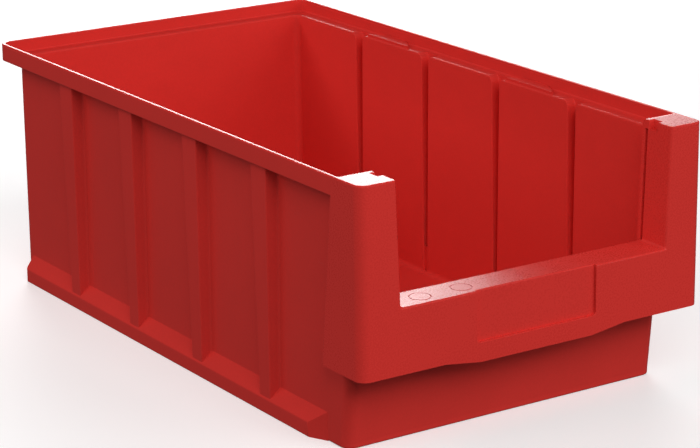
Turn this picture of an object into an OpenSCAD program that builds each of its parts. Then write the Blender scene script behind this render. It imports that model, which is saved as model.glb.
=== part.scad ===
// Open-front hanging and stacking parts bin, moulded in one shot from polypropylene.
// The moulding is built from its functional regions, which meet face to face.
// X runs across the bin, Y from the front face to the rear, Z up. The origin is the centre of the base.

/* [Overall size] */
// Width over the rim
bin_w = 200; // [160:1:320]
// Length from the front face to the outside of the rear rim
bin_l = 360; // [290:1:560]
// Height to the top of the rim
bin_h = 135; // [110:1:220]

/* [Tub] */
// Thickness of the side, rear and front walls
wall_t = 2.4; // [1.8:0.1:3.4]
// Thickness of the floor
floor_t = 2.6; // [2:0.1:4]
// From the rim's outer face in to the side wall's outer face
side_inset = 8; // [6.5:0.1:12]
// From the rim's outer face in to the rear wall's outer face
rear_inset = 7.5; // [6:0.1:12]
// Outer radius of the tub's upright corners
tub_corner_r = 6; // [4:0.5:12]

/* [Rim] */
// Height of the rim's outer band
rim_band_h = 9.4; // [7:0.1:16]
// Thickness of the rim's upright band
rim_t = 2.2; // [1.6:0.1:3]
// Thickness of the stacking ledge inside the rim
ledge_t = 2.4; // [1.8:0.1:3.4]
// Outer radius of the rim's rear corners
rim_corner_r = 7; // [4:0.5:12]

// Radius of the round pads on the stacking ledge
pad_r = 31; // [20:1:40]
// Height of the pads above the ledge
pad_h = 1.4; // [0.6:0.1:3]
// From the middle of a wall panel to the middle of its pad
pad_shift = 5; // [0:0.5:10]

/* [Side ribs] */
// From the front face to the middle of the first rib
rib_front = 90; // [75:1:140]
// From the middle of the last rib to the rear rim
rib_rear = 75; // [45:1:120]
// Width of a rib's outer face under the rim
rib_face_top = 13.5; // [11:0.5:20]
// Width of a rib's outer face at the skirt
rib_face_foot = 9.5; // [8:0.5:16]
// How far each flank of a rib spreads at the wall
rib_flare = 2.2; // [0.5:0.1:5]
// How far a rib's outer face draws in from rim to foot
rib_draft = 1.4; // [0:0.1:2.5]
// Width of the groove inside a rib under the rim
groove_top = 7.5; // [5:0.5:9]
// Width of the groove inside a rib at its foot
groove_foot = 4.8; // [4.2:0.2:6]
// Thickness of the rib's outer face behind the foot of the groove
rib_skin = 1.6; // [1.2:0.1:2.4]
// Height of the sill at the foot of the groove, above the skirt
groove_sill = 3; // [2:0.5:10]

/* [Base skirt] */
// Side clearance of the skirt inside the rim of the bin below
stack_clearance = 0.8; // [0.4:0.1:2]
// Height of the skirt's upright face
skirt_face_h = 7.4; // [4:0.1:10]
// Height of the skirt where its bevel meets the wall
skirt_top = 14.5; // [11.5:0.1:22]
// Thickness of the skirt
skirt_t = 2; // [1.4:0.1:3]
// From the front face to the front of the skirt's outer face
skirt_front = 51; // [46:1:70]
// Length of the slanted front end of the skirt
skirt_nose = 10; // [6:1:16]
// From the rear end of the skirt to the rear rim
skirt_rear = 16; // [12:1:30]

/* [Front] */
// Width of each post beside the front opening
post_w = 22.4; // [18:0.2:28]
// How far each jamb leans back from the lip to the top
jamb_lean = 2.4; // [0:0.1:3]
// From the back of the front lip to the back of each post
post_step = 1.8; // [1:0.1:4]
// Outer radius of the front head's upright corners
head_corner_r = 5.5; // [4:0.1:10]
// Radius of the post's edge towards the opening
jamb_r = 1.5; // [0.8:0.1:2.2]
// Height of the front lip
lip_z = 74.3; // [60:0.1:90]
// Depth of the front lip
lip_d = 20; // [16:0.1:24]
// From the front face to the foot of the front wall
wall_setback = 25; // [23:0.1:32]
// Length of the front wall's returns along the sides
wall_return = 36; // [35:1:44]
// Height of the apron's lower edge at the sides
apron_z = 42; // [34:0.1:50]
// How far the middle of the apron hangs lower
apron_drop = 2.8; // [1:0.1:6]
// Width of the apron's lowered middle
apron_drop_w = 66; // [50:1:90]
// Length of the slope on each side of the lowered middle
apron_slope = 20; // [10:1:22]
// Length of the apron's returns along the sides
apron_return = 7; // [6.5:0.1:9]
// From the back of each post to the top of the cheek's rear edge
cheek_step = 2.6; // [2.5:0.1:10]
// Depth of the cheek at its lower edge
cheek_foot_d = 33; // [30:0.1:42]

/* [Insert grooves and label field] */
// Thickness of the nib behind the insert groove
nib_t = 2; // [1.4:0.1:3]
// Width of the notch in the top of the post
notch_w = 6; // [4:0.1:8]
// Depth of that notch below the top, where the insert groove ends too
notch_h = 4.5; // [2:0.1:8]
// From the notch to the insert groove
notch_step = 1; // [0.5:0.1:2]
// Width of the insert groove along the side
insert_w = 1.8; // [1.2:0.1:3]
// Depth of the insert groove
insert_d = 3; // [1:0.1:3.5]
// Width of the label field
label_w = 70; // [50:1:90]
// Height of the label field's lower edge
label_z = 49; // [45:0.1:56]
// How far the label field is set back
label_d = 1.6; // [0.6:0.1:1.9]

/* [Hanging lip] */
// Width of the hanging lip on the rear rim
hang_w = 70; // [50:1:110]
// How far the hanging lip reaches down below the rim band
hang_h = 22; // [12:1:35]

/* [Hidden] */
bin_red = [0.72, 0.11, 0.09];
$fn = 64;
overrun = 1;
// Each side has four hollow ribs between five flat stretches of wall
rib_count = 4;

// Tub planes, with y counted from the front face
tub_x = bin_w / 2 - side_inset;
tub_in_x = tub_x - wall_t;
rear_y = bin_l - rear_inset;
rear_in_y = rear_y - wall_t;
rear_joint_y = rear_y - tub_corner_r - 2;

// Rim levels
band_z = bin_h - rim_band_h;
ledge_z = band_z + ledge_t;
rim_in_x = bin_w / 2 - rim_t;

// Ribs
rib_pitch = (bin_l - rib_front - rib_rear) / (rib_count - 1);
rib_reach_top = rim_in_x - tub_x;
rib_reach_foot = rib_reach_top - rib_draft;
groove_x = tub_x + rib_reach_foot - rib_skin;
sill_z = skirt_top + groove_sill;

// Skirt
skirt_x = rim_in_x - stack_clearance;
skirt_run = skirt_x - tub_x;
skirt_rise = skirt_top - skirt_face_h;

// Front wall, leaning forward from the floor to the lip
lip_under_z = lip_z - wall_t;
front_lean = atan((wall_setback - lip_d + wall_t) / (lip_under_z - floor_t));

// Opening between the posts; the post, its groove and the cheek are set out from the lip's depth
jamb_x = bin_w / 2 - post_w;
jamb_top_x = jamb_x + jamb_lean;
post_d = lip_d + post_step;
insert_y = post_d - nib_t - insert_w;
notch_y = insert_y - notch_step - notch_w;
cheek_top_d = post_d + cheek_step;

function rib_y(i) = rib_front + (i - 1) * rib_pitch;
function groove_half(z) =
    (groove_foot + (groove_top - groove_foot) * (z - floor_t) / (ledge_z - floor_t)) / 2;

// Moves front-based y values into the part's own frame
module from_front() { translate([0, -bin_l / 2, 0]) children(); }

// Draws on the right, or mirrored on the left
module on_side(side) { mirror([side == "left" ? 1 : 0, 0, 0]) children(); }

// A plate in the YZ plane between two x values
module side_plate(x0, x1) {
    translate([x0, 0, 0]) rotate([90, 0, 90]) linear_extrude(x1 - x0) children();
}

// A prism along Y with its section in the XZ plane
module along_y(y0, y1) {
    translate([0, y1, 0]) rotate([90, 0, 0]) linear_extrude(y1 - y0) children();
}

// Rectangle with round corners, between two y values and centred on x = 0
module round_rect(half_w, y0, y1, r) {
    translate([-half_w + r, y0]) square([2 * (half_w - r), y1 - y0]);
    translate([-half_w, y0 + r]) square([2 * half_w, y1 - y0 - 2 * r]);
    for (sx = [-1, 1], y = [y0 + r, y1 - r]) translate([sx * (half_w - r), y]) circle(r);
}

// Plan outlines
module tub_outer(y0) { round_rect(tub_x, y0, rear_y, tub_corner_r); }
module tub_inner() { round_rect(tub_in_x, -bin_l, rear_in_y, tub_corner_r - wall_t); }
module rim_outer() { round_rect(bin_w / 2, -bin_l, bin_l, rim_corner_r); }
module rim_inner() { round_rect(rim_in_x, -bin_l, bin_l - rim_t, rim_corner_r - rim_t); }
module plan_strip(y0, y1) { translate([-bin_w, y0]) square([2 * bin_w, y1 - y0]); }

module floor_panel() {
    color(bin_red) from_front() linear_extrude(floor_t) tub_outer(wall_setback);
}

module rear_wall() {
    color(bin_red) from_front() translate([0, 0, floor_t]) linear_extrude(band_z - floor_t)
        intersection() {
            difference() { tub_outer(0); tub_inner(); }
            plan_strip(rear_joint_y, bin_l);
        }
}

// U-shaped in plan and tilted forward, then cut level at the floor and the lip
module front_wall() {
    span = lip_under_z - floor_t;
    color(bin_red) from_front() intersection() {
        translate([0, wall_setback, floor_t]) rotate([front_lean, 0, 0])
            translate([0, 0, -span]) linear_extrude(3 * span) difference() {
                round_rect(tub_x, 0, 3 * wall_return, tub_corner_r);
                round_rect(tub_in_x, wall_t, 4 * wall_return, tub_corner_r - wall_t);
            }
        translate([-tub_x, 0, floor_t]) cube([2 * tub_x, wall_return, span]);
    }
}

// Wall between two rib grooves; the first also reaches forward above the lip, the last meets the rear wall
module wall_panel(side, i) {
    foot0 = i == 1 ? wall_return : rib_y(i - 1) + groove_half(floor_t);
    top0 = i == 1 ? post_d : rib_y(i - 1) + groove_half(band_z);
    foot1 = i == rib_count + 1 ? rear_joint_y : rib_y(i) - groove_half(floor_t);
    top1 = i == rib_count + 1 ? rear_joint_y : rib_y(i) - groove_half(band_z);
    step = i == 1 ? [[post_d, lip_under_z], [wall_return, lip_under_z]] : [];
    color(bin_red) from_front() on_side(side) side_plate(tub_in_x, tub_x)
        polygon(concat([[foot0, floor_t], [foot1, floor_t], [top1, band_z], [top0, band_z]], step));
}

// Plan section of a rib at one level, from the wall outwards
module rib_section(reach, face) {
    polygon([[tub_x, -face / 2 - rib_flare], [tub_x + reach, -face / 2],
        [tub_x + reach, face / 2], [tub_x, face / 2 + rib_flare]]);
}

// Groove inside a rib, seen from the side
module groove_outline(y, z0, z1) {
    polygon([[y - groove_half(z0), z0], [y + groove_half(z0), z0],
        [y + groove_half(z1), z1], [y - groove_half(z1), z1]]);
}

module rib(side, i) {
    layer = 0.01;
    color(bin_red) from_front() on_side(side) {
        difference() {
            hull() {
                translate([0, rib_y(i), skirt_face_h]) linear_extrude(layer)
                    rib_section(rib_reach_foot, rib_face_foot);
                translate([0, rib_y(i), band_z - layer]) linear_extrude(layer)
                    rib_section(rib_reach_top, rib_face_top);
            }
            side_plate(tub_x - overrun, groove_x)
                groove_outline(rib_y(i), sill_z, band_z + overrun);
            skirt_block(0);
        }
        side_plate(tub_in_x, tub_x) groove_outline(rib_y(i), floor_t, sill_z);
    }
}

// Stacking ledge and upright band in plan, at the given levels
module rim_ring() {
    translate([0, 0, band_z]) linear_extrude(ledge_t) difference() { rim_outer(); tub_inner(); }
    translate([0, 0, band_z]) linear_extrude(rim_band_h) difference() { rim_outer(); rim_inner(); }
}

// Shallow pad on the ledge, cut off by the inside of the tub and bedded in the band
module ledge_pad(y) {
    translate([0, 0, band_z]) linear_extrude(ledge_z + pad_h - band_z) intersection() {
        translate([rim_in_x + 0.5 - pad_r, y]) circle(pad_r);
        translate([tub_in_x, 0]) square([rim_in_x + rim_t / 2 - tub_in_x, bin_l]);
    }
}

module side_rim(side) {
    color(bin_red) from_front() on_side(side) difference() {
        union() {
            intersection() {
                rim_ring();
                translate([0, post_d, 0]) cube([bin_w, rear_joint_y - post_d, 2 * bin_h]);
            }
            for (i = [1:2:rib_count - 1]) ledge_pad(rib_y(i) + rib_pitch / 2 + pad_shift);
        }
        for (i = [1:rib_count]) side_plate(tub_in_x - overrun, groove_x)
            groove_outline(rib_y(i), band_z - overrun, ledge_z + overrun);
    }
}

module rear_rim() {
    color(bin_red) from_front() intersection() {
        rim_ring();
        translate([-bin_w, rear_joint_y, 0]) cube([2 * bin_w, bin_l, 2 * bin_h]);
    }
}

module hanging_lip() {
    color(bin_red) from_front() translate([-hang_w / 2, bin_l - rim_t, band_z - hang_h])
        cube([hang_w, rim_t, hang_h]);
}

// Outer volume of the skirt, or its hollow when every face is moved in by the skirt's thickness
module skirt_block(inset) {
    side_x = skirt_x - inset;
    bevel_drop = inset * norm([skirt_run, skirt_rise]) / skirt_run;
    nose_step = inset * norm([skirt_run, skirt_nose]) / skirt_run;
    rear = bin_l - skirt_rear - inset;
    intersection() {
        along_y(0, bin_l) polygon([[tub_x, -overrun], [side_x, -overrun],
            [side_x, skirt_face_h + inset * skirt_rise / skirt_run - bevel_drop],
            [tub_x, skirt_top - bevel_drop]]);
        translate([0, 0, -overrun]) linear_extrude(bin_h) polygon([
            [tub_x, skirt_front - skirt_nose + nose_step],
            [side_x, skirt_front - inset * skirt_nose / skirt_run + nose_step],
            [side_x, rear], [tub_x, rear]]);
    }
}

module skirt(side) {
    color(bin_red) from_front() on_side(side) difference() {
        intersection() {
            skirt_block(0);
            cube([bin_w, bin_l, bin_h]);
        }
        skirt_block(skirt_t);
    }
}

// Plan of the right post
module post_outline() {
    difference() {
        union() {
            translate([jamb_x + jamb_r, 0]) square([post_w - jamb_r - head_corner_r, post_d]);
            translate([jamb_x, jamb_r]) square([post_w, post_d - jamb_r]);
            translate([jamb_x + jamb_r, jamb_r]) circle(jamb_r);
        }
        translate([bin_w / 2 - head_corner_r, 0]) square(head_corner_r);
    }
    translate([bin_w / 2 - head_corner_r, head_corner_r]) circle(head_corner_r);
}

module post_core() {
    x0 = jamb_top_x + wall_t;
    x1 = bin_w / 2 - wall_t;
    mid_x = jamb_top_x + insert_d + wall_t;
    r = head_corner_r - wall_t;
    translate([x0, wall_t]) square([x1 - r - x0, notch_y - 2 * wall_t]);
    translate([mid_x, wall_t]) square([x1 - r - mid_x, post_d - 2 * wall_t]);
    translate([mid_x, wall_t + r]) square([x1 - mid_x, post_d - 2 * wall_t - r]);
    translate([x1 - r, wall_t + r]) circle(r);
}

module jamb_lean_outline() {
    polygon([[jamb_x - overrun, lip_z], [jamb_x, lip_z], [jamb_top_x, bin_h],
        [jamb_top_x, bin_h + overrun], [jamb_x - overrun, bin_h + overrun]]);
}
module post(side) {
    color(bin_red) from_front() on_side(side) difference() {
        translate([0, 0, lip_under_z]) linear_extrude(bin_h - lip_under_z) post_outline();
        translate([0, 0, lip_under_z - overrun])
            linear_extrude(bin_h - wall_t - lip_under_z + overrun) post_core();
        translate([jamb_x - overrun, insert_y, lip_z])
            cube([insert_d + jamb_lean + overrun, insert_w, bin_h - notch_h - lip_z]);
        translate([jamb_x - overrun, notch_y, bin_h - notch_h])
            cube([insert_d + jamb_lean + overrun, notch_w, bin_h]);
        translate([0, post_d + overrun, 0]) rotate([90, 0, 0])
            linear_extrude(post_d + 2 * overrun) jamb_lean_outline();
    }
}

// Side of the front head: an outer plate and the leaning web that ties its rear edge to the tub
module cheek(side) {
    color(bin_red) from_front() on_side(side) {
        side_plate(bin_w / 2 - wall_t, bin_w / 2) polygon([[apron_return, apron_z],
            [cheek_foot_d, apron_z], [cheek_top_d, band_z], [post_d, band_z],
            [post_d, lip_under_z], [apron_return, lip_under_z]]);
        side_plate(tub_x, bin_w / 2 - wall_t) polygon([[cheek_foot_d - wall_t, apron_z],
            [cheek_foot_d, apron_z], [cheek_top_d, band_z], [cheek_top_d - wall_t, band_z]]);
    }
}

module front_lip() {
    color(bin_red) from_front() translate([0, 0, lip_under_z]) linear_extrude(wall_t) difference() {
        translate([-jamb_x, 0]) square([2 * jamb_x, lip_d]);
        translate([-label_w / 2, -overrun]) square([label_w, label_d + overrun]);
    }
}

// Seen from the front, with its lowered middle
module apron_outline() {
    foot_z = apron_z - apron_drop;
    polygon([[-bin_w / 2, apron_z], [-apron_drop_w / 2 - apron_slope, apron_z],
        [-apron_drop_w / 2, foot_z], [apron_drop_w / 2, foot_z],
        [apron_drop_w / 2 + apron_slope, apron_z], [bin_w / 2, apron_z],
        [bin_w / 2, lip_under_z], [-bin_w / 2, lip_under_z]]);
}

module apron() {
    color(bin_red) from_front() difference() {
        intersection() {
            linear_extrude(bin_h) intersection() {
                difference() {
                    round_rect(bin_w / 2, 0, bin_l, head_corner_r);
                    round_rect(bin_w / 2 - wall_t, wall_t, bin_l, head_corner_r - wall_t);
                }
                plan_strip(0, apron_return);
            }
            along_y(0, bin_l) apron_outline();
        }
        translate([-label_w / 2, -overrun, label_z]) cube([label_w, bin_l, bin_h]);
    }
}

module label_panel() {
    color(bin_red) from_front() translate([-label_w / 2, label_d, label_z])
        cube([label_w, wall_t, lip_under_z - label_z]);
}

floor_panel();
rear_wall();
front_wall();
for (side = ["left", "right"]) {
    for (i = [1:rib_count + 1])
        wall_panel(side, i);
    for (i = [1:rib_count])
        rib(side, i);
    side_rim(side);
    skirt(side);
    post(side);
    cheek(side);
}
rear_rim();
hanging_lip();
front_lip();
apron();
label_panel();
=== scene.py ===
import math
import bpy
import bmesh
from mathutils import Matrix, Vector


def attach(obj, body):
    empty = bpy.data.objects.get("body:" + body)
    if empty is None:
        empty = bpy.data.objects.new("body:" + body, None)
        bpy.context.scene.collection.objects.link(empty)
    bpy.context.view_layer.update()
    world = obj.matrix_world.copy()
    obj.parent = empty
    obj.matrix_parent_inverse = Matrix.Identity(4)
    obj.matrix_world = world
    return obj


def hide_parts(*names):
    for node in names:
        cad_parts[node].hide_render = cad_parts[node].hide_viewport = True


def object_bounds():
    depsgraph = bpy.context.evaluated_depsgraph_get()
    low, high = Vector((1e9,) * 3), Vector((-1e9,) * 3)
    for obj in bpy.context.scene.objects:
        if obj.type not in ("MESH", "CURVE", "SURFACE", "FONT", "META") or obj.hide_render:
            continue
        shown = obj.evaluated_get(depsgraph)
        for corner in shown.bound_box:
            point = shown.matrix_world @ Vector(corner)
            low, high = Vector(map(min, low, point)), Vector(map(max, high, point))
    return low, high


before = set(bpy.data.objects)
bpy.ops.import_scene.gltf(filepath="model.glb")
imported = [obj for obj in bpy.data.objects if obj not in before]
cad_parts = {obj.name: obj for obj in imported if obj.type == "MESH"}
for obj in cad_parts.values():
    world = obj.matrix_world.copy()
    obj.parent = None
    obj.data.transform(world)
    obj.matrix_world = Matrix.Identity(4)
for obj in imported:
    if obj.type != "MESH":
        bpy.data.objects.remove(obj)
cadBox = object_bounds()
scene = bpy.context.scene
scene.view_settings.view_transform = "Standard"
mm = 0.001

# Sizes in millimetres, with y counted from the front face. The overall ones come from the frame.
lowest, highest = cadBox
tub = {
    "width": (highest[0] - lowest[0]) / mm,
    "length": (highest[1] - lowest[1]) / mm,
    "height": (highest[2] - lowest[2]) / mm,
    "wall": 2.4,
    "floor": 2.6,
    "halfWidth": 92.0,
    "rear": 352.5,
    "rearJoint": 344.5,
    "corner": 6.0,
    "footSetback": 25.0,
    "insideRounding": 3.0,
}
half = tub["width"] / 2
tubIn = tub["halfWidth"] - tub["wall"]
rearIn = tub["rear"] - tub["wall"]
yShift = -tub["length"] / 2
farOut = 400.0


# Camera and room

# A turned camera frame: x to the right, y up, z backwards
def lookFrom(place, yaw, pitch, roll):
    ahead = Vector((math.sin(yaw) * math.cos(pitch), math.cos(yaw) * math.cos(pitch), -math.sin(pitch)))
    right = Vector((math.cos(yaw), -math.sin(yaw), 0))
    down = ahead.cross(right)
    rightTurned = math.cos(roll) * right + math.sin(roll) * down
    upTurned = math.sin(roll) * right - math.cos(roll) * down
    turned = Matrix((rightTurned, upTurned, -ahead)).transposed().to_4x4()
    return Matrix.Translation(place) @ turned


# Angles in degrees; the pitch is downwards
view = {
    "sensor": 36,
    "lens": 135.36,
    "farthest": 20,
    "place": (-0.71845, -1.11368, 0.45419),
    "yaw": 33.3,
    "pitch": 16.7,
    "roll": 0.66,
}


def addCamera():
    data = bpy.data.cameras.new("shelfCamera")
    data.sensor_width = view["sensor"]
    data.lens = view["lens"]
    data.clip_end = view["farthest"]
    camera = bpy.data.objects.new("shelfCamera", data)
    camera.matrix_world = lookFrom(view["place"], math.radians(view["yaw"]),
                                   math.radians(view["pitch"]), math.radians(view["roll"]))
    scene.collection.objects.link(camera)
    scene.camera = camera


studio = {
    "floorReach": 5.0,
    "floorTone": (0.86, 0.86, 0.86, 1),
    "floorMatt": 0.7,
    "floorGlow": 0.35,
    "roomTone": (1.0, 0.99, 0.98, 1),
    "roomStrength": 0.06,
}
# Powers in watts; only the mirrored panel shows in the gloss
lamps = {
    "backPanel": {"place": (1.11, 1.85, 0.52), "target": (0, 0, 0.1), "size": (1.6, 0.86),
                  "power": 30, "mirrored": True, "roll": 50},
    "farLeftPanel": {"place": (-1.25, 1.15, 1.35), "target": (0, 0, 0.08), "size": (0.7, 0.6), "power": 7},
    "leftPanel": {"place": (-1.9, 0.3, 1.0), "target": (0, 0, 0.08), "size": (1.2, 0.9), "power": 10},
    "keyPanel": {"place": (-0.55, -1.7, 1.45), "target": (0, 0.05, 0.08), "size": (1.6, 1.1), "power": 24},
    "rightPanel": {"place": (1.1, -1.9, 0.9), "target": (0, 0, 0.08), "size": (1.4, 1.1), "power": 16},
}


def addLight(name, place, target, size, power, mirrored=False, roll=0):
    data = bpy.data.lights.new(name, "AREA")
    data.shape = "RECTANGLE"
    data.size, data.size_y = size
    data.energy = power
    lamp = bpy.data.objects.new(name, data)
    aim = (Vector(target) - Vector(place)).normalized()
    facing = aim.to_track_quat("-Z", "Y").to_matrix().to_4x4()
    rolled = Matrix.Rotation(math.radians(roll), 4, "Z")
    lamp.matrix_world = Matrix.Translation(place) @ (facing @ rolled)
    lamp.visible_camera = False
    lamp.visible_glossy = mirrored
    scene.collection.objects.link(lamp)


def addRoom():
    world = bpy.data.worlds.new("paleRoom")
    world.use_nodes = True
    background = world.node_tree.nodes["Background"]
    background.inputs["Color"].default_value = studio["roomTone"]
    background.inputs["Strength"].default_value = studio["roomStrength"]
    scene.world = world

    mesh = bpy.data.meshes.new("paleFloor")
    reach = studio["floorReach"]
    mesh.from_pydata([(-reach, -reach, 0), (reach, -reach, 0), (reach, reach, 0), (-reach, reach, 0)],
                     [], [(0, 1, 2, 3)])
    floor = bpy.data.objects.new("paleFloor", mesh)
    scene.collection.objects.link(floor)
    paper = bpy.data.materials.new("palePaper")
    paper.use_nodes = True
    shader = paper.node_tree.nodes["Principled BSDF"]
    shader.inputs["Base Color"].default_value = studio["floorTone"]
    shader.inputs["Roughness"].default_value = studio["floorMatt"]
    shader.inputs["Emission Color"].default_value = (1, 1, 1, 1)
    shader.inputs["Emission Strength"].default_value = studio["floorGlow"]
    mesh.materials.append(paper)
    floor.visible_glossy = False
    floor.visible_diffuse = False

    for name, lamp in lamps.items():
        addLight(name, **lamp)


addCamera()
addRoom()
print("camera and room ready")


# Plastics. The skin of the mould and the marks of use are groups that every plastic shares.

def startGroup(name, inputs, outputs):
    group = bpy.data.node_groups.new(name, "ShaderNodeTree")
    for label, kind, value in inputs:
        group.interface.new_socket(label, in_out="INPUT", socket_type=kind).default_value = value
    for label, kind in outputs:
        group.interface.new_socket(label, in_out="OUTPUT", socket_type=kind)
    given = group.nodes.new("NodeGroupInput")
    result = group.nodes.new("NodeGroupOutput")
    return group, given.outputs, result.inputs


# A number or a socket may be given for any input of these helpers
def wire(tree, value, socket):
    if isinstance(value, bpy.types.NodeSocket):
        tree.links.new(value, socket)
    else:
        socket.default_value = value


def maths(tree, operation, first, second=0.5):
    node = tree.nodes.new("ShaderNodeMath")
    node.operation = operation
    wire(tree, first, node.inputs[0])
    wire(tree, second, node.inputs[1])
    return node.outputs["Value"]


def remap(tree, value, low, high, newLow, newHigh):
    node = tree.nodes.new("ShaderNodeMapRange")
    node.interpolation_type = "SMOOTHSTEP"
    for socket, setting in zip(node.inputs, (value, low, high, newLow, newHigh)):
        wire(tree, setting, socket)
    return node.outputs["Result"]


def cloud(tree, scale, detail, stretch=(1, 1, 1), turn=(0, 0, 0), rough=0.5):
    place = tree.nodes.new("ShaderNodeTexCoord")
    mapping = tree.nodes.new("ShaderNodeMapping")
    mapping.inputs["Scale"].default_value = stretch
    mapping.inputs["Rotation"].default_value = turn
    tree.links.new(place.outputs["Object"], mapping.inputs["Vector"])
    noise = tree.nodes.new("ShaderNodeTexNoise")
    noise.inputs["Detail"].default_value = detail
    noise.inputs["Roughness"].default_value = rough
    wire(tree, scale, noise.inputs["Scale"])
    tree.links.new(mapping.outputs["Vector"], noise.inputs["Vector"])
    return noise.outputs["Fac"]


def blended(tree, factor, colour, other):
    node = tree.nodes.new("ShaderNodeMix")
    node.data_type = "RGBA"
    node.clamp_factor = True
    wire(tree, factor, node.inputs[0])
    wire(tree, colour, node.inputs[6])
    wire(tree, other, node.inputs[7])
    return node.outputs[2]


# The fine erosion grain of the mould, with the broad flow clouds of filled polypropylene
def buildSkin():
    tree, given, result = startGroup(
        "mouldSkin",
        [("Tint", "NodeSocketColor", (0.5, 0.03, 0.02, 1)), ("Clouding", "NodeSocketFloat", 0.1),
         ("Matt", "NodeSocketFloat", 0.35), ("Grain", "NodeSocketFloat", 900.0)],
        [("Color", "NodeSocketColor"), ("Roughness", "NodeSocketFloat"), ("Height", "NodeSocketFloat")])
    flow = cloud(tree, 9.0, 3.0, stretch=(1, 0.6, 1.5))
    patches = cloud(tree, 70.0, 2.0)
    grain = cloud(tree, given["Grain"], 2.0, rough=0.6)
    pits = cloud(tree, 260.0, 1.0)
    broad = remap(tree, flow, 0.3, 0.7, -1.0, 1.0)
    small = remap(tree, patches, 0.3, 0.7, -0.35, 0.35)
    shade = maths(tree, "MULTIPLY", maths(tree, "ADD", broad, small), given["Clouding"])
    speckle = remap(tree, grain, 0.35, 0.65, 0.985, 1.015)
    value = maths(tree, "MULTIPLY", maths(tree, "ADD", shade, 1.0), speckle)
    hue = tree.nodes.new("ShaderNodeHueSaturation")
    wire(tree, value, hue.inputs["Value"])
    wire(tree, given["Tint"], hue.inputs["Color"])
    wire(tree, hue.outputs["Color"], result["Color"])
    dull = maths(tree, "MULTIPLY", remap(tree, patches, 0.3, 0.7, 0.96, 1.05), given["Matt"])
    wire(tree, maths(tree, "MULTIPLY", dull, remap(tree, grain, 0.3, 0.7, 0.93, 1.07)), result["Roughness"])
    wire(tree, maths(tree, "ADD", maths(tree, "MULTIPLY", grain, 0.6), maths(tree, "MULTIPLY", pits, 0.4)),
         result["Height"])
    return tree


# Thin rubbed lines from boxes and hands, paler and duller than the skin around them
def buildWear():
    tree, given, result = startGroup(
        "rubbedLines",
        [("Color", "NodeSocketColor", (0.5, 0.03, 0.02, 1)), ("Roughness", "NodeSocketFloat", 0.35),
         ("Pale", "NodeSocketColor", (0.75, 0.3, 0.26, 1)), ("Amount", "NodeSocketFloat", 0.3)],
        [("Color", "NodeSocketColor"), ("Roughness", "NodeSocketFloat")])
    along = cloud(tree, 26.0, 4.0, stretch=(30, 1, 22), turn=(0.12, 0.05, 0.1), rough=0.7)
    across = cloud(tree, 22.0, 4.0, stretch=(1, 26, 24), turn=(-0.08, 0.1, -0.2), rough=0.7)
    where = remap(tree, cloud(tree, 16.0, 2.0), 0.48, 0.68, 0.0, 1.0)
    lines = maths(tree, "MAXIMUM", remap(tree, along, 0.66, 0.74, 0.0, 1.0),
                  remap(tree, across, 0.68, 0.76, 0.0, 1.0))
    mask = maths(tree, "MULTIPLY", maths(tree, "MULTIPLY", lines, where), given["Amount"])
    wire(tree, blended(tree, mask, given["Color"], given["Pale"]), result["Color"])
    dulled = maths(tree, "MULTIPLY", mask, 0.25)
    wire(tree, maths(tree, "ADD", given["Roughness"], dulled), result["Roughness"])
    return tree


pigment = (0.78, 0.041, 0.033, 1)
plastics = {
    "wallPlastic": {"clouding": 0.025, "matt": 0.33, "grain": 850.0, "wear": 0.10, "relief": 0.05},
    "headPlastic": {"clouding": 0.015, "matt": 0.28, "grain": 1050.0, "wear": 0.05, "relief": 0.02},
    "floorPlastic": {"clouding": 0.03, "matt": 0.38, "grain": 800.0, "wear": 0.25, "relief": 0.05},
}


def makePlastic(name, finish):
    made = bpy.data.materials.new(name)
    made.use_nodes = True
    tree = made.node_tree
    shader = tree.nodes["Principled BSDF"]
    shader.inputs["IOR"].default_value = 1.49
    shader.inputs["Specular IOR Level"].default_value = 0.4
    skin = tree.nodes.new("ShaderNodeGroup")
    skin.node_tree = skinGroup
    skin.inputs["Tint"].default_value = pigment
    skin.inputs["Clouding"].default_value = finish["clouding"]
    skin.inputs["Matt"].default_value = finish["matt"]
    skin.inputs["Grain"].default_value = finish["grain"]
    wear = tree.nodes.new("ShaderNodeGroup")
    wear.node_tree = wearGroup
    wear.inputs["Amount"].default_value = finish["wear"]
    wire(tree, skin.outputs["Color"], wear.inputs["Color"])
    wire(tree, skin.outputs["Roughness"], wear.inputs["Roughness"])
    bump = tree.nodes.new("ShaderNodeBump")
    bump.inputs["Strength"].default_value = finish["relief"]
    bump.inputs["Distance"].default_value = 0.0004
    wire(tree, skin.outputs["Height"], bump.inputs["Height"])
    wire(tree, wear.outputs["Color"], shader.inputs["Base Color"])
    wire(tree, wear.outputs["Roughness"], shader.inputs["Roughness"])
    wire(tree, bump.outputs["Normal"], shader.inputs["Normal"])
    return made


skinGroup = buildSkin()
wearGroup = buildWear()
finishes = {name: makePlastic(name, finish) for name, finish in plastics.items()}
print("plastics mixed")


# Builders of closed blanks. A loop is a list of (u, v) in millimetres.

def arcPoints(centre, radius, start, end, steps):
    return [(centre[0] + radius * math.cos(start + (end - start) * k / steps),
             centre[1] + radius * math.sin(start + (end - start) * k / steps))
            for k in range(steps + 1)]


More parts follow.
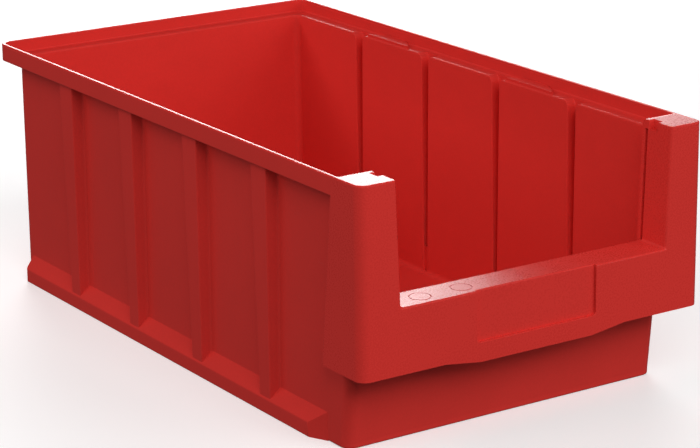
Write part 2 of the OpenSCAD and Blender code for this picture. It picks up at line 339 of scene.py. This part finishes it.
# Corners are (u, v, radius); a corner with a radius becomes an arc tangent to both its sides
def roundLoop(corners, steps=6):
    loop = []
    count = len(corners)
    for k, (u, v, radius) in enumerate(corners):
        here = Vector((u, v))
        if radius <= 0:
            loop.append((u, v))
            continue
        before = (Vector(corners[k - 1][:2]) - here).normalized()
        after = (Vector(corners[(k + 1) % count][:2]) - here).normalized()
        opening = before.angle(after)
        reach = radius / math.tan(opening / 2)
        centre = here + (before + after).normalized() * (radius / math.sin(opening / 2))
        first = here + before * reach - centre
        last = here + after * reach - centre
        turn = math.atan2(first.x * last.y - first.y * last.x, first.dot(last))
        for step in range(steps + 1):
            part = turn * step / steps
            loop.append((centre.x + first.x * math.cos(part) - first.y * math.sin(part),
                         centre.y + first.x * math.sin(part) + first.y * math.cos(part)))
    return loop


# (rise, inset) pairs of a rounded edge, from its flat end to its upright end
def quarter(radius, steps=5):
    angles = [math.pi / 2 * k / steps for k in range(steps + 1)]
    return [(radius * (1 - math.cos(a)), radius * (1 - math.sin(a))) for a in angles]


def linked(name, mesh):
    made = bpy.data.objects.new(name, mesh)
    scene.collection.objects.link(made)
    return made


# Rings are lists of (x, y, z) in millimetres with equal counts; the ends are capped
def meshFromRings(name, rings):
    work = bmesh.new()
    rows = [[work.verts.new((x * mm, (y + yShift) * mm, z * mm)) for x, y, z in ring] for ring in rings]
    count = len(rows[0])
    for low, high in zip(rows, rows[1:]):
        for k in range(count):
            work.faces.new((low[k], low[(k + 1) % count], high[(k + 1) % count], high[k]))
    work.faces.new(list(reversed(rows[0])))
    work.faces.new(rows[-1])
    bmesh.ops.recalc_face_normals(work, faces=work.faces)
    mesh = bpy.data.meshes.new(name)
    work.to_mesh(mesh)
    work.free()
    return linked(name, mesh)


def prismZ(name, loop, z0, z1):
    return meshFromRings(name, [[(u, v, z) for u, v in loop] for z in (z0, z1)])


def prismY(name, loop, y0, y1):
    return meshFromRings(name, [[(u, y, v) for u, v in loop] for y in (y0, y1)])


def prismX(name, loop, x0, x1):
    return meshFromRings(name, [[(x, u, v) for u, v in loop] for x in (x0, x1)])


def block(name, x0, x1, y0, y1, z0, z1):
    return prismZ(name, [(x0, y0), (x1, y0), (x1, y1), (x0, y1)], z0, z1)


def planRing(z, halfX, front, rear, frontRadius, rearRadius):
    loop = roundLoop([(-halfX, front, frontRadius), (halfX, front, frontRadius),
                      (halfX, rear, rearRadius), (-halfX, rear, rearRadius)], steps=8)
    return [(u, v, z) for u, v in loop]


# The same blank on the other side, with its faces turned back outwards
def mirrored(blank, name):
    mesh = blank.data.copy()
    mesh.transform(Matrix.Diagonal((-1, 1, 1, 1)))
    mesh.flip_normals()
    return linked(name, mesh)


# Turns the modifiers' result into the object's own plain mesh
def settle(subject):
    bpy.context.view_layer.update()
    graph = bpy.context.evaluated_depsgraph_get()
    mesh = bpy.data.meshes.new_from_object(subject.evaluated_get(graph))
    subject.modifiers.clear()
    old = subject.data
    subject.data = mesh
    bpy.data.meshes.remove(old)
    return subject


# Joins, cuts or trims the subject with each tool in turn
def combine(subject, tools, operation, keep=False):
    for tool in tools:
        step = subject.modifiers.new("step", "BOOLEAN")
        step.operation = operation
        step.solver = "MANIFOLD"
        step.object = tool
        settle(subject)
        if not keep:
            bpy.data.meshes.remove(tool.data)
    return subject


# Removes the seams that the joining left on flat faces
def mergeFlats(subject, angle=0.2):
    work = bmesh.new()
    work.from_mesh(subject.data)
    bmesh.ops.dissolve_limit(work, angle_limit=math.radians(angle), verts=work.verts, edges=work.edges)
    work.to_mesh(subject.data)
    work.free()


# Rounds the sharp edges whose two ends pass the test, given in millimetres from the front
def softenEdges(subject, chosen, radius, segments=4):
    work = bmesh.new()
    work.from_mesh(subject.data)
    edges = []
    for edge in work.edges:
        ends = [(v.co.x / mm, v.co.y / mm - yShift, v.co.z / mm) for v in edge.verts]
        if len(edge.link_faces) == 2 and edge.calc_face_angle(0) > math.radians(25) and chosen(*ends):
            edges.append(edge)
    bmesh.ops.bevel(work, geom=edges, offset=radius * mm, segments=segments, profile=0.5,
                    affect="EDGES", clamp_overlap=True)
    work.to_mesh(subject.data)
    work.free()
    print("softened", len(edges), "edges of", subject.name)


# Repeats: one blank becomes a row on both sides

rib = {
    "count": 4,
    "first": 90.0,
    "last": 285.0,
    "faceTop": 13.5,
    "faceFoot": 9.5,
    "flare": 2.2,
    "reachTop": 5.8,
    "reachFoot": 4.4,
    "footZ": 7.4,
    "topZ": 126.0,
    "edge": 0.9,
    "root": 1.6,
    "grooveTop": 6.4,
    "grooveFoot": 3.2,
    "grooveDeep": 94.8,
    "grooveMouth": 0.5,
    "sill": 17.5,
    "runOut": 1.3,
}
rib["pitch"] = (rib["last"] - rib["first"]) / (rib["count"] - 1)


# A blank on the right-hand side repeated along the bin, and again turned round for the left
def buildRowTree():
    tree = bpy.data.node_groups.new("sideRow", "GeometryNodeTree")
    face = tree.interface
    face.new_socket("Blank", in_out="INPUT", socket_type="NodeSocketObject")
    face.new_socket("Count", in_out="INPUT", socket_type="NodeSocketInt")
    face.new_socket("First", in_out="INPUT", socket_type="NodeSocketFloat")
    face.new_socket("Pitch", in_out="INPUT", socket_type="NodeSocketFloat")
    face.new_socket("Plastic", in_out="INPUT", socket_type="NodeSocketMaterial")
    face.new_socket("Geometry", in_out="OUTPUT", socket_type="NodeSocketGeometry")
    nodes, links = tree.nodes, tree.links
    given = nodes.new("NodeGroupInput")
    blank = nodes.new("GeometryNodeObjectInfo")
    links.new(given.outputs["Blank"], blank.inputs["Object"])
    start = nodes.new("ShaderNodeCombineXYZ")
    step = nodes.new("ShaderNodeCombineXYZ")
    links.new(given.outputs["First"], start.inputs["Y"])
    links.new(given.outputs["Pitch"], step.inputs["Y"])
    line = nodes.new("GeometryNodeMeshLine")
    line.mode = "OFFSET"
    links.new(given.outputs["Count"], line.inputs["Count"])
    links.new(start.outputs["Vector"], line.inputs["Start Location"])
    links.new(step.outputs["Vector"], line.inputs["Offset"])
    both = nodes.new("GeometryNodeJoinGeometry")
    for turn in (0.0, math.pi):
        row = nodes.new("GeometryNodeInstanceOnPoints")
        links.new(line.outputs["Mesh"], row.inputs["Points"])
        links.new(blank.outputs["Geometry"], row.inputs["Instance"])
        row.inputs["Rotation"].default_value = (0, 0, turn)
        links.new(row.outputs["Instances"], both.inputs["Geometry"])
    real = nodes.new("GeometryNodeRealizeInstances")
    painted = nodes.new("GeometryNodeSetMaterial")
    result = nodes.new("NodeGroupOutput")
    links.new(both.outputs["Geometry"], real.inputs["Geometry"])
    links.new(real.outputs["Geometry"], painted.inputs["Geometry"])
    links.new(given.outputs["Plastic"], painted.inputs["Material"])
    links.new(painted.outputs["Geometry"], result.inputs["Geometry"])
    return tree


# Runs the tree and returns one plain mesh with all the copies
def sideRow(name, blank, plastic):
    holder = linked(name, bpy.data.meshes.new(name))
    grown = holder.modifiers.new("row", "NODES")
    grown.node_group = rowTree
    socket = {item.name: item.identifier for item in rowTree.interface.items_tree}
    grown[socket["Blank"]] = blank
    grown[socket["Count"]] = rib["count"]
    grown[socket["First"]] = (rib["first"] + yShift) * mm
    grown[socket["Pitch"]] = rib["pitch"] * mm
    grown[socket["Plastic"]] = plastic
    settle(holder)
    bpy.data.meshes.remove(blank.data)
    return holder


# Plan of a slot cut outwards from its mouth, symmetric about y = 0, with a softened mouth
def slotSection(mouthX, deepX, halfSpan, mouthRadius, deepRadius, beyond):
    side = [(mouthX - beyond, halfSpan + mouthRadius)]
    for rise, inset in quarter(mouthRadius):
        side.append((mouthX + rise, halfSpan + inset))
    deep = roundLoop([(mouthX, halfSpan, 0), (deepX, halfSpan, deepRadius), (deepX, -halfSpan, 0)])
    side += deep[1:-1]
    return side + [(u, -v) for u, v in reversed(side)]


# A blank around the origin, which the row tree moves into place
def centred(name, rings):
    made = meshFromRings(name, rings)
    made.data.transform(Matrix.Translation((0, -yShift * mm, 0)))
    return made


def ribBlank():
    rings = []
    wallX = tub["halfWidth"] - 0.02
    for z, face, reach in ((rib["footZ"], rib["faceFoot"], rib["reachFoot"]),
                           (rib["topZ"], rib["faceTop"], rib["reachTop"])):
        outer = tub["halfWidth"] + reach
        spread = face / 2 + rib["flare"]
        loop = roundLoop([(wallX - 1, -spread - 3, 0), (wallX, -spread - 3, 0),
                          (wallX, -spread, rib["root"]), (outer, -face / 2, rib["edge"]),
                          (outer, face / 2, rib["edge"]), (wallX, spread, rib["root"]),
                          (wallX, spread + 3, 0), (wallX - 1, spread + 3, 0)], steps=5)
        rings.append([(u, v, z) for u, v in loop])
    return centred("ribBlank", rings)


def grooveHalf(z):
    share = (z - tub["floor"]) / (128 - tub["floor"])
    return (rib["grooveFoot"] + (rib["grooveTop"] - rib["grooveFoot"]) * share) / 2


def grooveBlank():
    levels = [(rib["sill"], 0.0), (124.0, 0.0)]
    for rise, inset in quarter(4.0, 6)[1:]:
        levels.append((124.0 + 4.0 - inset, rise))
    levels.append((140.0, 4.0))
    rings = []
    for z, wider in levels:
        section = slotSection(tubIn, rib["grooveDeep"], grooveHalf(min(z, 128)) + wider,
                              rib["grooveMouth"], 0.8, 2.0)
        rings.append([(u, v, z) for u, v in section])
    return centred("grooveBlank", rings)


# The shallow end of each groove, from its sill down to the floor
def runOutBlank():
    rings = []
    for z in (tub["floor"] + 1.2, rib["sill"] + 1):
        section = slotSection(tubIn, tubIn + rib["runOut"], grooveHalf(z), rib["grooveMouth"], 0.4, 2.0)
        rings.append([(u, v, z) for u, v in section])
    return centred("runOutBlank", rings)


# The moulding as one shape, before it is divided into its named regions

rim = {
    "bandZ": tub["height"] - 9.4,
    "ledgeZ": tub["height"] - 7.0,
    "inX": half - 2.2,
    "corner": 7.0,
    "edge": 0.8,
    "fillet": 0.8,
}
head = {
    "corner": 5.5,
    "lipZ": 74.3,
    "underZ": 71.9,
    "jambFoot": half - 22.4,
    "jambTop": half - 20,
    "jambRadius": 1.5,
    "lipDepth": 20.0,
    "postDepth": 21.8,
    "postRear": 2.6,
    "footZ": 42.0,
    "drop": 2.8,
    "dropHalf": 33.0,
    "slope": 20.0,
    "cheekFoot": 33.0,
    "cheekTop": 24.4,
}
skirt = {
    "x": 97.0,
    "faceZ": 7.4,
    "topZ": 14.5,
    "front": 51.0,
    "nose": 10.0,
    "rear": tub["length"] - 16,
    "thick": 2.0,
}
hanger = {"half": 35.0, "depth": 22.0, "thick": 2.2}
label = {"half": 35.0, "z": 49.0, "deep": 1.6}
insert = {
    "notchY": 14.0,
    "notchWidth": 6.0,
    "notchZ": 130.5,
    "grooveY": 18.9,
    "grooveWidth": 1.8,
    "deep": 3.0,
}
pad = {"radius": 31.0, "height": 1.4, "shift": 5.0, "bed": 0.5, "edge": 0.6}


# Outer face of the front wall, which leans forward from the floor to the lip
def frontPlane(z):
    share = min(max((z - tub["floor"]) / (head["underZ"] - tub["floor"]), 0), 1)
    return tub["footSetback"] + (17.6 - tub["footSetback"]) * share


def cheekPlane(z):
    share = (z - head["footZ"]) / (rim["bandZ"] - head["footZ"])
    return head["cheekFoot"] + (head["cheekTop"] - head["cheekFoot"]) * share


# Flank of a post towards the opening, which leans outwards from the lip up
def jambAt(z):
    share = min(max((z - head["lipZ"]) / (tub["height"] - head["lipZ"]), 0), 1)
    return head["jambFoot"] + (head["jambTop"] - head["jambFoot"]) * share


def tubBlank():
    rings = []
    for rise, inset in quarter(1.0, 4):
        rings.append(planRing(rise, tub["halfWidth"] - inset, tub["footSetback"] + inset,
                              tub["rear"] - inset, tub["corner"] - inset, tub["corner"] - inset))
    for z in (tub["floor"], head["underZ"], 126.5):
        rings.append(planRing(z, tub["halfWidth"], frontPlane(z), tub["rear"],
                              tub["corner"], tub["corner"]))
    return meshFromRings("moulding", rings)


def rimBlank():
    def ring(z, inset):
        return planRing(z, half - inset, 10, tub["length"] - inset, 0.1, rim["corner"] - inset)
    rings = [ring(rim["bandZ"] + rise, inset) for rise, inset in quarter(0.4, 3)]
    rings += [ring(tub["height"] - rise, inset) for rise, inset in reversed(quarter(rim["edge"]))]
    return meshFromRings("rimBlank", rings)


# The front head, open below: face, sides, posts and the web behind each cheek
def headBlank():
    outside = []
    for z in (30.0, rim["bandZ"]):
        outside.append(planRing(z, half, 0, cheekPlane(z), head["corner"], 0.9))
    for rise, inset in reversed(quarter(rim["edge"])):
        outside.append(planRing(tub["height"] - rise, half - inset, inset, cheekPlane(rim["bandZ"]),
                                head["corner"] - inset, 0.1))
    made = meshFromRings("head", outside)
    foot = head["footZ"]
    low = foot - head["drop"]
    bend = head["dropHalf"] + head["slope"]
    below = roundLoop([(-half - 1, 29, 0), (-half - 1, foot, 0), (-bend, foot, 16),
                       (-head["dropHalf"], low, 16), (head["dropHalf"], low, 16), (bend, foot, 16),
                       (half + 1, foot, 0), (half + 1, 29, 0)], steps=6)
    combine(made, [prismY("below", below, -1, 40)], "DIFFERENCE")
    mergeFlats(made)
    softenEdges(made, lambda a, b: max(a[2], b[2]) < foot + 0.1 and min(a[1], b[1]) < 34
                and not (a[1] > 30 and b[1] > 30), 0.9, 3)

    wall = tub["wall"]
    inner = half - wall
    cornerIn = head["corner"] - wall
    core = [planRing(z, inner, wall, cheekPlane(z) - wall, cornerIn, 0.1) for z in (20.0, head["underZ"])]
    cores = [meshFromRings("core", core)]
    slotLow, slotHigh = head["underZ"] - 1, rim["bandZ"]
    for side in (-1, 1):
        near, far = side * 91, side * inner
        slot = []
        for z in (slotLow, slotHigh):
            front, rear = head["postDepth"], cheekPlane(z) - wall
            slot.append([(near, front, z), (far, front, z), (far, rear, z), (near, rear, z)])
        cores.append(meshFromRings("cheekSlot", slot))
        innerX, cornerX = head["jambTop"] + wall, half - head["corner"]
        recessX, recessY = innerX + insert["deep"], insert["notchY"] - insert["notchWidth"] / 2 - wall
        backY = head["postDepth"] - wall
        postPlan = [(innerX, wall), (cornerX, wall), (inner, head["corner"]), (inner, backY),
                    (recessX, backY), (recessX, recessY), (innerX, recessY)]
        cores.append(prismZ("postCore", [(side * u, v) for u, v in postPlan],
                            head["underZ"] - 1, tub["height"] - wall))
    combine(made, cores, "DIFFERENCE")
    return made


def skirtBlank():
    x, faceZ, topZ, thick = skirt["x"], skirt["faceZ"], skirt["topZ"], skirt["thick"]
    wallX = tub["halfWidth"]
    section = roundLoop([(90, 0, 0), (x, 0, 0.5), (x, faceZ, 1.4), (wallX, topZ, 0), (90, topZ, 0)])
    made = prismY("skirtBlank", section, 30, tub["length"])
    plan = roundLoop([(89, skirt["front"] - skirt["nose"], 0), (wallX, skirt["front"] - skirt["nose"], 0.6),
                      (x, skirt["front"], 2), (x, skirt["rear"], 1.2), (89, skirt["rear"], 0)])
    combine(made, [prismZ("skirtPlan", plan, -1, 20)], "INTERSECT")
    hollowSection = [(wallX, -1), (x - thick, -1), (x - thick, 6.2), (wallX, 11.6)]
    hollow = prismY("skirtHollow", hollowSection, 20, tub["length"])
    start = skirt["front"] - skirt["nose"] + 3.2
    within = [(wallX - 1, start), (wallX, start),
              (x - thick, skirt["front"] + 0.4), (x - thick, skirt["rear"] - thick),
              (wallX - 1, skirt["rear"] - thick)]
    combine(hollow, [prismZ("skirtWithin", within, -2, 20)], "INTERSECT")
    combine(made, [hollow], "DIFFERENCE")
    return made


def hangingBlank():
    low = rim["bandZ"] - hanger["depth"]
    loop = roundLoop([(-hanger["half"], low, 2.5), (hanger["half"], low, 2.5),
                      (hanger["half"], rim["bandZ"] + 1, 0), (-hanger["half"], rim["bandZ"] + 1, 0)])
    made = prismY("hangingLip", loop, tub["length"] - hanger["thick"], tub["length"])
    softenEdges(made, lambda a, b: min(a[2], b[2]) < rim["bandZ"] - 1 and abs(a[1] - b[1]) < 0.1, 0.4, 2)
    return made


def cavityTool():
    rings = []
    wall = tub["wall"]
    inner = tub["corner"] - wall
    for rise, inset in quarter(tub["insideRounding"]):
        z = tub["floor"] + rise
        rings.append(planRing(z, tubIn - inset, frontPlane(z) + wall + inset, rearIn - inset,
                              max(inner - inset, 0.5), max(inner - inset, 0.5)))
    back = head["postDepth"]
    rings.append(planRing(head["underZ"], tubIn, head["lipDepth"], rearIn, inner, inner))
    rings.append(planRing(head["underZ"] + 0.1, tubIn, back, rearIn, 1.2, inner))
    for rise, inset in quarter(1.0, 4):
        rings.append(planRing(rim["ledgeZ"] - inset, tubIn + rise, back, rearIn + rise, 1.2, inner + rise))
    rings.append(planRing(140, tubIn + 1, back, rearIn + 1, 1.2, inner + 1))
    return meshFromRings("cavityTool", rings)


# Brings the back of the lip forward of the posts and rounds its upper edge
def lipTool():
    depth, top = head["lipDepth"], head["lipZ"]
    profile = [(depth + 0.03, head["underZ"] - 0.3)]
    profile += [(depth - rise, top - inset) for rise, inset in quarter(1.0, 4)]
    profile += [(depth - 1, top + 1.5), (depth + 5, top + 1.5), (depth + 5, head["underZ"] - 0.3)]
    return prismX("lipTool", profile, -head["jambFoot"], head["jambFoot"])


def rimTool():
    top, back = tub["height"], head["postDepth"]

    def opened(z, radius):
        above = max(z - (top - radius), 0)
        return radius - math.sqrt(max(radius ** 2 - above ** 2, 0))

    def ring(z, inset, frontInset):
        return planRing(z, rim["inX"] - inset, back + frontInset, tub["length"] - 2.2 - inset,
                        1.2, rim["corner"] - 2.2 - inset)
    rings = [ring(rim["ledgeZ"] + rise, inset, inset) for rise, inset in quarter(rim["fillet"], 4)]
    levels = {top - inset for radius in (rim["edge"], head["postRear"]) for rise, inset in quarter(radius)}
    for z in sorted(levels):
        rings.append(ring(z, -opened(z, rim["edge"]), -opened(z, head["postRear"])))
    rings.append(ring(140, -rim["edge"], -head["postRear"]))
    return meshFromRings("rimTool", rings)


# The way in between the posts, with the jambs' and the lip's front edges rounded
def openingTool():
    jamb, lipEdge, topEdge = head["jambRadius"], 0.9, 0.5
    rings = []
    for y in [-1.0] + [jamb * (1 - math.cos(math.pi / 2 * k / 8)) for k in range(9)] + [24.0]:
        into = max(jamb - max(y, 0), 0)
        outX = jamb - math.sqrt(jamb ** 2 - into ** 2)
        near = max(lipEdge - max(y, 0), 0)
        outZ = lipEdge - math.sqrt(lipEdge ** 2 - near ** 2)
        z, top = head["lipZ"] - outZ, head["jambTop"] + outX
        side = roundLoop([(0, z, 0), (head["jambFoot"] + outX, z, 1.5), (top, tub["height"], 0)])[1:-1]
        for rise, inset in quarter(topEdge, 3):
            side.append((top + rise, tub["height"] - inset))
        side.append((top + topEdge, 140))
        rings.append([(u, y, v) for u, v in side] + [(-u, y, v) for u, v in reversed(side)])
    return meshFromRings("openingTool", rings)


# The notch in the top of a post and the narrow groove below it
def insertTools(side):
    def slot(middle, halfSpan, levels, softness):
        rings = []
        for z, wider in levels:
            mouth = jambAt(z)
            section = slotSection(mouth, mouth + insert["deep"] + wider,
                                  halfSpan + wider, softness, softness, 3)
            rings.append([(side * u, middle + v, z) for u, v in section])
        return meshFromRings("insertTool", rings)
    top, foot = tub["height"], insert["notchZ"]
    opened = [(top - inset, rise) for rise, inset in quarter(0.5, 3)]
    notch = slot(insert["notchY"], insert["notchWidth"] / 2, [(foot, 0.0)] + opened + [(140.0, 0.5)], 0.4)
    groove = slot(insert["grooveY"], insert["grooveWidth"] / 2, [(head["lipZ"], 0.0), (foot, 0.0)], 0.3)
    return [notch, groove]


def labelTools():
    low, wide, deep = label["z"], label["half"], label["deep"]
    rings = []
    for y, spread in ((-1.0, 0.35), (0.0, 0.35), (0.1, 0.15), (0.35, 0.0), (deep, 0.0)):
        side, foot, corner = wide + spread, low - spread, 2 + spread
        loop = roundLoop([(-side, foot, corner), (side, foot, corner), (side, 78, 0), (-side, 78, 0)])
        rings.append([(u, y, v) for u, v in loop])
    edge = 0.8
    profile = [(deep - 1, head["lipZ"] - edge)]
    profile += [(deep + rise, head["lipZ"] - inset) for rise, inset in quarter(edge)]
    profile += [(deep + edge, head["lipZ"] + 1), (deep - 1, head["lipZ"] + 1)]
    return [meshFromRings("labelTool", rings), prismX("labelEdge", profile, -wide, wide)]


# Shallow round pads on the ledge, in every second stretch of wall
def padBlanks():
    blanks = []
    for side in (-1, 1):
        for k in range(0, rib["count"], 2):
            middle = rib["first"] + (k + 0.5) * rib["pitch"] + pad["shift"]
            centreX = rim["inX"] + pad["bed"] - pad["radius"]
            rings = []
            top = rim["ledgeZ"] + pad["height"]
            for z, inset in [(rim["bandZ"] + 1, 0.0)] + [(top - rise, inset) for rise, inset
                                                         in reversed(quarter(pad["edge"], 3))]:
                radius = pad["radius"] - inset
                reach = math.acos((tubIn - 3 - centreX) / radius)
                rings.append([(side * u, v, z) for u, v in
                              arcPoints((centreX, middle), radius, -reach, reach, 40)])
            blanks.append(meshFromRings("padBlank", rings))
    return blanks


ejector = {"places": ((-61.0, 9.4), (-37.5, 9.7)), "radius": 5.4, "line": 0.5, "deep": 0.35}


# Thin rings left by the ejector pins on the lip
def ejectorTools():
    made = []
    for x, y in ejector["places"]:
        around = arcPoints((x, y), ejector["radius"], 0, math.tau, 48)[:-1]
        within = arcPoints((x, y), ejector["radius"] - ejector["line"], 0, math.tau, 48)[:-1]
        outer = prismZ("pinRing", around, head["lipZ"] - ejector["deep"], head["lipZ"] + 1)
        inner = prismZ("pinFace", within, head["lipZ"] - 1, head["lipZ"] + 2)
        made.append(combine(outer, [inner], "DIFFERENCE"))
    return made


def buildMoulding(plastic):
    whole = tubBlank()
    combine(whole, [rimBlank(), headBlank()], "UNION")
    right = skirtBlank()
    combine(whole, [mirrored(right, "leftSkirtBlank"), right, hangingBlank(),
                    block("labelBack", -label["half"] - 2, label["half"] + 2, 2.0, 4.0,
                          label["z"] - 2.4, head["underZ"] + 0.5)], "UNION")
    combine(whole, [sideRow("ribRow", ribBlank(), plastic)], "UNION")
    print("moulding joined", len(whole.data.polygons), "faces")
    combine(whole, [rimTool()], "DIFFERENCE")
    combine(whole, padBlanks(), "UNION")
    combine(whole, [cavityTool(), openingTool(), lipTool()], "DIFFERENCE")
    combine(whole, [sideRow("grooveRow", grooveBlank(), plastic)], "DIFFERENCE")
    combine(whole, [sideRow("runOutRow", runOutBlank(), plastic)], "DIFFERENCE")
    combine(whole, labelTools() + insertTools(1) + insertTools(-1) + ejectorTools(), "DIFFERENCE")
    mergeFlats(whole, 0.05)
    print("moulding cut", len(whole.data.polygons), "faces")
    return whole


# The regions, in the order in which they are taken out of the moulding. Each is a list of blanks,
# and each seam lies a hair off the face that it follows.
def regions():
    hair = 0.02
    farX, wallX, joint = half + 2, tub["halfWidth"] + hair, tub["rearJoint"]
    jambX, postBack = head["jambFoot"] - hair, head["postDepth"] + hair
    floorZ, under, bandZ = tub["floor"] + hair, head["underZ"] - hair, rim["bandZ"] - hair
    sides = (("left", -1), ("right", 1))

    def on(side, x0, x1, y0, y1, z0, z1):
        low, high = sorted((side * x0, side * x1))
        return block("cutter", low, high, y0, y1, z0, z1)

    for word, side in sides:
        yield word + "_post", [on(side, jambX, farX, -2, postBack, under, farOut)]
    yield "front_lip", [block("cutter", -head["jambFoot"], head["jambFoot"], -2, 20.5,
                              under, head["lipZ"] + 2.5)]
    yield "label_panel", [block("cutter", -label["half"] + hair, label["half"] - hair, -2, 5,
                                label["z"] + hair, under)]
    yield "apron", [block("cutter", -farX, farX, -2, 7, 20, under)]
    for word, side in sides:
        yield word + "_cheek", [on(side, wallX, farX, 0, 40, 20, bandZ)]
    yield "hanging_lip", [block("cutter", -40, 40, tub["length"] - 3, tub["length"] + 2, 80, bandZ)]
    yield "floor_panel", [block("cutter", -wallX, wallX, 10, tub["rear"] + 1, -2, floorZ)]
    slope = (skirt["topZ"] - skirt["faceZ"]) / (skirt["x"] - tub["halfWidth"])
    for word, side in sides:
        section = [(wallX, -2), (wallX + 8, -2), (wallX + 8, skirt["topZ"] + hair - 8 * slope),
                   (wallX, skirt["topZ"] + hair)]
        yield word + "_skirt", [prismY("cutter", [(side * u, v) for u, v in section], 35, joint + 1)]
    for word, side in sides:
        for k in range(rib["count"]):
            y = rib["first"] + k * rib["pitch"]
            low, high = grooveHalf(tub["floor"]) - hair, grooveHalf(rib["sill"]) - hair
            sillZ = rib["sill"] + 0.5
            sill = [(y - low, floorZ), (y + low, floorZ), (y + high, sillZ), (y - high, sillZ)]
            x0, x1 = sorted((side * (tubIn - 4), side * (wallX + 0.1)))
            yield f"{word}_rib_{k + 1}", [on(side, wallX, farX, y - 14, y + 14, 0, bandZ),
                                          prismX("cutter", sill, x0, x1)]
    yield "front_wall", [block("cutter", -wallX, wallX, 5, 36, 0, under)]
    yield "rear_rim", [block("cutter", -farX, farX, joint, tub["length"] + 2, bandZ, farOut)]
    yield "rear_wall", [block("cutter", -farX, farX, joint, tub["length"] + 2, 0, bandZ)]
    for word, side in sides:
        yield word + "_rim", [on(side, 0, farX, 5, joint + 1, bandZ, farOut)]
    for word, side in sides:
        for k in range(rib["count"] + 1):
            y0 = rib["first"] + (k - 1) * rib["pitch"] if k else 0
            y1 = rib["first"] + k * rib["pitch"] if k < rib["count"] else joint + 1
            yield f"{word}_wall_{k + 1}", [on(side, 0, farX, y0, y1, 0, bandZ)]


# Splits the moulding into one closed piece per region, meeting face to face
def divide(whole):
    pieces = {}
    for name, cutters in regions():
        taken = linked("taken", whole.data.copy())
        cutter = cutters[0]
        combine(cutter, cutters[1:], "UNION")
        combine(taken, [cutter], "INTERSECT", keep=True)
        combine(whole, [cutter], "DIFFERENCE")
        pieces[name] = taken
    print("left over after dividing:", len(whole.data.polygons), "faces")
    bpy.data.meshes.remove(whole.data)
    return pieces


# Shades flats flat and roundings smooth
def finishMesh(piece, sharpDegrees=32):
    work = bmesh.new()
    work.from_mesh(piece.data)
    bmesh.ops.remove_doubles(work, verts=work.verts, dist=0.000001)
    bmesh.ops.dissolve_limit(work, angle_limit=math.radians(0.05), verts=work.verts, edges=work.edges)
    for face in work.faces:
        face.smooth = True
    for edge in work.edges:
        edge.smooth = len(edge.link_faces) == 2 and edge.calc_face_angle(0) < math.radians(sharpDegrees)
    work.to_mesh(piece.data)
    work.free()
    weigh = piece.modifiers.new("weigh", "WEIGHTED_NORMAL")
    weigh.mode = "FACE_AREA"
    weigh.weight = 100
    weigh.keep_sharp = True
    settle(piece)


def pieceName(node):
    return "moulded" + "".join(word.capitalize() for word in node.split("_"))


# The head is polished more than the walls, and the floor takes the wear
def finishOf(node):
    if node == "floor_panel":
        return finishes["floorPlastic"]
    if node.split("_")[-1] in ("post", "lip", "apron", "panel", "cheek"):
        return finishes["headPlastic"]
    return finishes["wallPlastic"]


rowTree = buildRowTree()
plastic = finishes["wallPlastic"]
pieces = divide(buildMoulding(plastic))
for node, piece in pieces.items():
    finishMesh(piece)
    piece.name = pieceName(node)
    piece.data.name = piece.name
    piece.data.materials.clear()
    piece.data.materials.append(finishOf(node))
    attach(piece, "root")
    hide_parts(node)
print(len(pieces), "pieces finished")
